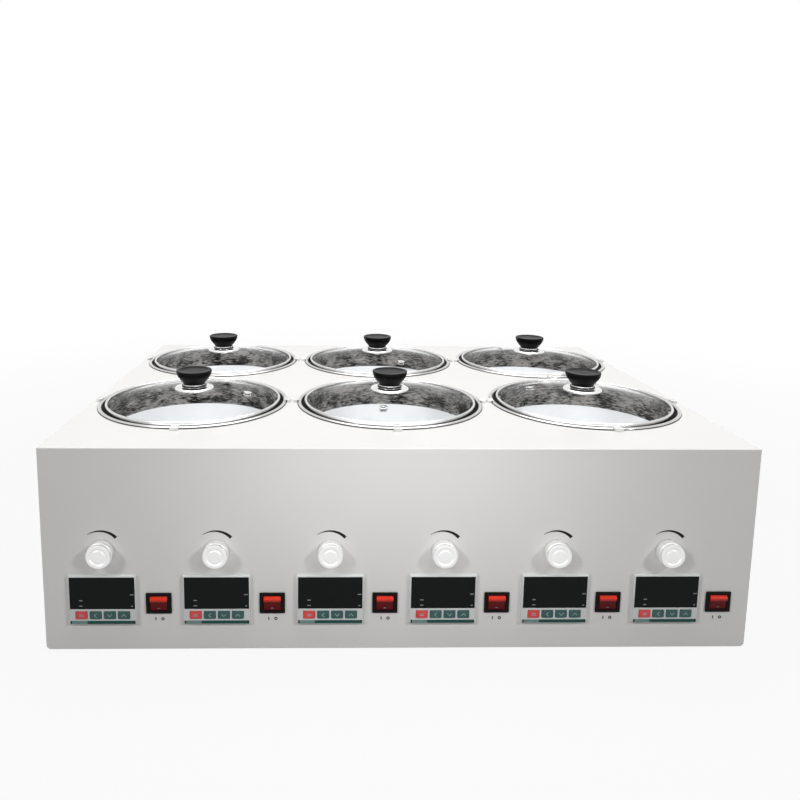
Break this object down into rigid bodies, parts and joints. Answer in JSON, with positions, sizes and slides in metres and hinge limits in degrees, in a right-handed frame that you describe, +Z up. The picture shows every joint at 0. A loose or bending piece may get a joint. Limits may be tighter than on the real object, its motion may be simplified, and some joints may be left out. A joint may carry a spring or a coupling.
{
  "type": "water bath magnetic stirrer",
  "caption": "White sheet-metal bench water bath with glass-lidded round steel pots over magnetic stirrers and a row of temperature controllers, rocker switches and speed knobs.",
  "frame": {"origin": "under the middle of the whole object's box, on the surface that its feet stand on", "axes": "+X to the right along the row of controls, the control panel faces -Y, +Z up"},
  "size_m": [0.85, 0.667, 0.3024],
  "materials": {
    "white_paint": "satin white paint",
    "zinc_sheet": "plain zinc-coated sheet",
    "polished_steel": "polished stainless steel",
    "heater_metal": "dull cast metal",
    "motor_enamel": "dark enamel",
    "case_grey": "light grey moulded plastic",
    "window_black": "glossy black",
    "black_plastic": "black moulded plastic",
    "foot_rubber": "black rubber",
    "lid_glass": "clear tempered glass",
    "drive_metal": "turned metal",
    "white_plastic": "white moulded plastic",
    "rocker_red": "clear red plastic",
    "key_red": "red rubber key",
    "key_green": "dark green rubber key"
  },
  "bodies": {
    "housing": {"cabinet": "white_paint", "base_plate": "zinc_sheet", "bath_pots": "polished_steel", "heater_plates": "heater_metal", "temperature_probes": "polished_steel", "stirrer_motors": "motor_enamel", "controller_cases": "case_grey", "controller_windows": "window_black", "switch_housings": "black_plastic", "speed_controls": "black_plastic", "cord_gland": "black_plastic", "feet": "foot_rubber"},
    "lid_1": {"lid_1": "lid_glass"},
    "drive_magnet_1": {"drive_magnet_1": "drive_metal"},
    "speed_knob_1": {"speed_knob_1": "white_plastic"},
    "rocker_1": {"rocker_1": "rocker_red"},
    "key_set_1": {"key_set_1": "key_red"},
    "key_shift_1": {"key_shift_1": "key_green"},
    "key_down_1": {"key_down_1": "key_green"},
    "key_up_1": {"key_up_1": "key_green"},
    "lid_2": {"lid_2": "lid_glass"},
    "drive_magnet_2": {"drive_magnet_2": "drive_metal"},
    "speed_knob_2": {"speed_knob_2": "white_plastic"},
    "rocker_2": {"rocker_2": "rocker_red"},
    "key_set_2": {"key_set_2": "key_red"},
    "key_shift_2": {"key_shift_2": "key_green"},
    "key_down_2": {"key_down_2": "key_green"},
    "key_up_2": {"key_up_2": "key_green"},
    "lid_3": {"lid_3": "lid_glass"},
    "drive_magnet_3": {"drive_magnet_3": "drive_metal"},
    "speed_knob_3": {"speed_knob_3": "white_plastic"},
    "rocker_3": {"rocker_3": "rocker_red"},
    "key_set_3": {"key_set_3": "key_red"},
    "key_shift_3": {"key_shift_3": "key_green"},
    "key_down_3": {"key_down_3": "key_green"},
    "key_up_3": {"key_up_3": "key_green"},
    "lid_4": {"lid_4": "lid_glass"},
    "drive_magnet_4": {"drive_magnet_4": "drive_metal"},
    "speed_knob_4": {"speed_knob_4": "white_plastic"},
    "rocker_4": {"rocker_4": "rocker_red"},
    "key_set_4": {"key_set_4": "key_red"},
    "key_shift_4": {"key_shift_4": "key_green"},
    "key_down_4": {"key_down_4": "key_green"},
    "key_up_4": {"key_up_4": "key_green"},
    "lid_5": {"lid_5": "lid_glass"},
    "drive_magnet_5": {"drive_magnet_5": "drive_metal"},
    "speed_knob_5": {"speed_knob_5": "white_plastic"},
    "rocker_5": {"rocker_5": "rocker_red"},
    "key_set_5": {"key_set_5": "key_red"},
    "key_shift_5": {"key_shift_5": "key_green"},
    "key_down_5": {"key_down_5": "key_green"},
    "key_up_5": {"key_up_5": "key_green"},
    "lid_6": {"lid_6": "lid_glass"},
    "drive_magnet_6": {"drive_magnet_6": "drive_metal"},
    "speed_knob_6": {"speed_knob_6": "white_plastic"},
    "rocker_6": {"rocker_6": "rocker_red"},
    "key_set_6": {"key_set_6": "key_red"},
    "key_shift_6": {"key_shift_6": "key_green"},
    "key_down_6": {"key_down_6": "key_green"},
    "key_up_6": {"key_up_6": "key_green"}
  },
  "joints": [
    {"name": "lid_1_lift", "type": "slide", "parent": "housing", "child": "lid_1", "axis": [0, 0, 1], "range_m": [0, 0.15]},
    {"name": "drive_magnet_1_spin", "type": "hinge", "parent": "housing", "child": "drive_magnet_1", "pos_m": [-0.281, -0.1165, 0.139], "axis": [0, 0, 1], "continuous": true},
    {"name": "speed_knob_1_turn", "type": "hinge", "parent": "housing", "child": "speed_knob_1", "pos_m": [-0.3545, -0.3195, 0.1287], "axis": [0, 1, 0], "range_deg": [0, 300]},
    {"name": "rocker_1_tilt", "type": "hinge", "parent": "housing", "child": "rocker_1", "pos_m": [-0.28875, -0.315, 0.0639], "axis": [-1, 0, 0], "range_deg": [0, 24]},
    {"name": "key_set_1_press", "type": "slide", "parent": "housing", "child": "key_set_1", "axis": [0, 1, 0], "range_m": [0, 0.0008], "stiffness_N_per_m": 400},
    {"name": "key_shift_1_press", "type": "slide", "parent": "housing", "child": "key_shift_1", "axis": [0, 1, 0], "range_m": [0, 0.0008], "stiffness_N_per_m": 400},
    {"name": "key_down_1_press", "type": "slide", "parent": "housing", "child": "key_down_1", "axis": [0, 1, 0], "range_m": [0, 0.0008], "stiffness_N_per_m": 400},
    {"name": "key_up_1_press", "type": "slide", "parent": "housing", "child": "key_up_1", "axis": [0, 1, 0], "range_m": [0, 0.0008], "stiffness_N_per_m": 400},
    {"name": "lid_2_lift", "type": "slide", "parent": "housing", "child": "lid_2", "axis": [0, 0, 1], "range_m": [0, 0.15]},
    {"name": "drive_magnet_2_spin", "type": "hinge", "parent": "housing", "child": "drive_magnet_2", "pos_m": [0, -0.1165, 0.139], "axis": [0, 0, 1], "continuous": true},
    {"name": "speed_knob_2_turn", "type": "hinge", "parent": "housing", "child": "speed_knob_2", "pos_m": [-0.2193, -0.3195, 0.1287], "axis": [0, 1, 0], "range_deg": [0, 300]},
    {"name": "rocker_2_tilt", "type": "hinge", "parent": "housing", "child": "rocker_2", "pos_m": [-0.15355, -0.315, 0.0639], "axis": [-1, 0, 0], "range_deg": [0, 24]},
    {"name": "key_set_2_press", "type": "slide", "parent": "housing", "child": "key_set_2", "axis": [0, 1, 0], "range_m": [0, 0.0008], "stiffness_N_per_m": 400},
    {"name": "key_shift_2_press", "type": "slide", "parent": "housing", "child": "key_shift_2", "axis": [0, 1, 0], "range_m": [0, 0.0008], "stiffness_N_per_m": 400},
    {"name": "key_down_2_press", "type": "slide", "parent": "housing", "child": "key_down_2", "axis": [0, 1, 0], "range_m": [0, 0.0008], "stiffness_N_per_m": 400},
    {"name": "key_up_2_press", "type": "slide", "parent": "housing", "child": "key_up_2", "axis": [0, 1, 0], "range_m": [0, 0.0008], "stiffness_N_per_m": 400},
    {"name": "lid_3_lift", "type": "slide", "parent": "housing", "child": "lid_3", "axis": [0, 0, 1], "range_m": [0, 0.15]},
    {"name": "drive_magnet_3_spin", "type": "hinge", "parent": "housing", "child": "drive_magnet_3", "pos_m": [0.281, -0.1165, 0.139], "axis": [0, 0, 1], "continuous": true},
    {"name": "speed_knob_3_turn", "type": "hinge", "parent": "housing", "child": "speed_knob_3", "pos_m": [-0.0841, -0.3195, 0.1287], "axis": [0, 1, 0], "range_deg": [0, 300]},
    {"name": "rocker_3_tilt", "type": "hinge", "parent": "housing", "child": "rocker_3", "pos_m": [-0.01835, -0.315, 0.0639], "axis": [-1, 0, 0], "range_deg": [0, 24]},
    {"name": "key_set_3_press", "type": "slide", "parent": "housing", "child": "key_set_3", "axis": [0, 1, 0], "range_m": [0, 0.0008], "stiffness_N_per_m": 400},
    {"name": "key_shift_3_press", "type": "slide", "parent": "housing", "child": "key_shift_3", "axis": [0, 1, 0], "range_m": [0, 0.0008], "stiffness_N_per_m": 400},
    {"name": "key_down_3_press", "type": "slide", "parent": "housing", "child": "key_down_3", "axis": [0, 1, 0], "range_m": [0, 0.0008], "stiffness_N_per_m": 400},
    {"name": "key_up_3_press", "type": "slide", "parent": "housing", "child": "key_up_3", "axis": [0, 1, 0], "range_m": [0, 0.0008], "stiffness_N_per_m": 400},
    {"name": "lid_4_lift", "type": "slide", "parent": "housing", "child": "lid_4", "axis": [0, 0, 1], "range_m": [0, 0.15]},
    {"name": "drive_magnet_4_spin", "type": "hinge", "parent": "housing", "child": "drive_magnet_4", "pos_m": [-0.281, 0.1645, 0.139], "axis": [0, 0, 1], "continuous": true},
    {"name": "speed_knob_4_turn", "type": "hinge", "parent": "housing", "child": "speed_knob_4", "pos_m": [0.0511, -0.3195, 0.1287], "axis": [0, 1, 0], "range_deg": [0, 300]},
    {"name": "rocker_4_tilt", "type": "hinge", "parent": "housing", "child": "rocker_4", "pos_m": [0.11685, -0.315, 0.0639], "axis": [-1, 0, 0], "range_deg": [0, 24]},
    {"name": "key_set_4_press", "type": "slide", "parent": "housing", "child": "key_set_4", "axis": [0, 1, 0], "range_m": [0, 0.0008], "stiffness_N_per_m": 400},
    {"name": "key_shift_4_press", "type": "slide", "parent": "housing", "child": "key_shift_4", "axis": [0, 1, 0], "range_m": [0, 0.0008], "stiffness_N_per_m": 400},
    {"name": "key_down_4_press", "type": "slide", "parent": "housing", "child": "key_down_4", "axis": [0, 1, 0], "range_m": [0, 0.0008], "stiffness_N_per_m": 400},
    {"name": "key_up_4_press", "type": "slide", "parent": "housing", "child": "key_up_4", "axis": [0, 1, 0], "range_m": [0, 0.0008], "stiffness_N_per_m": 400},
    {"name": "lid_5_lift", "type": "slide", "parent": "housing", "child": "lid_5", "axis": [0, 0, 1], "range_m": [0, 0.15]},
    {"name": "drive_magnet_5_spin", "type": "hinge", "parent": "housing", "child": "drive_magnet_5", "pos_m": [0, 0.1645, 0.139], "axis": [0, 0, 1], "continuous": true},
    {"name": "speed_knob_5_turn", "type": "hinge", "parent": "housing", "child": "speed_knob_5", "pos_m": [0.1863, -0.3195, 0.1287], "axis": [0, 1, 0], "range_deg": [0, 300]},
    {"name": "rocker_5_tilt", "type": "hinge", "parent": "housing", "child": "rocker_5", "pos_m": [0.25205, -0.315, 0.0639], "axis": [-1, 0, 0], "range_deg": [0, 24]},
    {"name": "key_set_5_press", "type": "slide", "parent": "housing", "child": "key_set_5", "axis": [0, 1, 0], "range_m": [0, 0.0008], "stiffness_N_per_m": 400},
    {"name": "key_shift_5_press", "type": "slide", "parent": "housing", "child": "key_shift_5", "axis": [0, 1, 0], "range_m": [0, 0.0008], "stiffness_N_per_m": 400},
    {"name": "key_down_5_press", "type": "slide", "parent": "housing", "child": "key_down_5", "axis": [0, 1, 0], "range_m": [0, 0.0008], "stiffness_N_per_m": 400},
    {"name": "key_up_5_press", "type": "slide", "parent": "housing", "child": "key_up_5", "axis": [0, 1, 0], "range_m": [0, 0.0008], "stiffness_N_per_m": 400},
    {"name": "lid_6_lift", "type": "slide", "parent": "housing", "child": "lid_6", "axis": [0, 0, 1], "range_m": [0, 0.15]},
    {"name": "drive_magnet_6_spin", "type": "hinge", "parent": "housing", "child": "drive_magnet_6", "pos_m": [0.281, 0.1645, 0.139], "axis": [0, 0, 1], "continuous": true},
    {"name": "speed_knob_6_turn", "type": "hinge", "parent": "housing", "child": "speed_knob_6", "pos_m": [0.3215, -0.3195, 0.1287], "axis": [0, 1, 0], "range_deg": [0, 300]},
    {"name": "rocker_6_tilt", "type": "hinge", "parent": "housing", "child": "rocker_6", "pos_m": [0.38725, -0.315, 0.0639], "axis": [-1, 0, 0], "range_deg": [0, 24]},
    {"name": "key_set_6_press", "type": "slide", "parent": "housing", "child": "key_set_6", "axis": [0, 1, 0], "range_m": [0, 0.0008], "stiffness_N_per_m": 400},
    {"name": "key_shift_6_press", "type": "slide", "parent": "housing", "child": "key_shift_6", "axis": [0, 1, 0], "range_m": [0, 0.0008], "stiffness_N_per_m": 400},
    {"name": "key_down_6_press", "type": "slide", "parent": "housing", "child": "key_down_6", "axis": [0, 1, 0], "range_m": [0, 0.0008], "stiffness_N_per_m": 400},
    {"name": "key_up_6_press", "type": "slide", "parent": "housing", "child": "key_up_6", "axis": [0, 1, 0], "range_m": [0, 0.0008], "stiffness_N_per_m": 400}
  ]
}
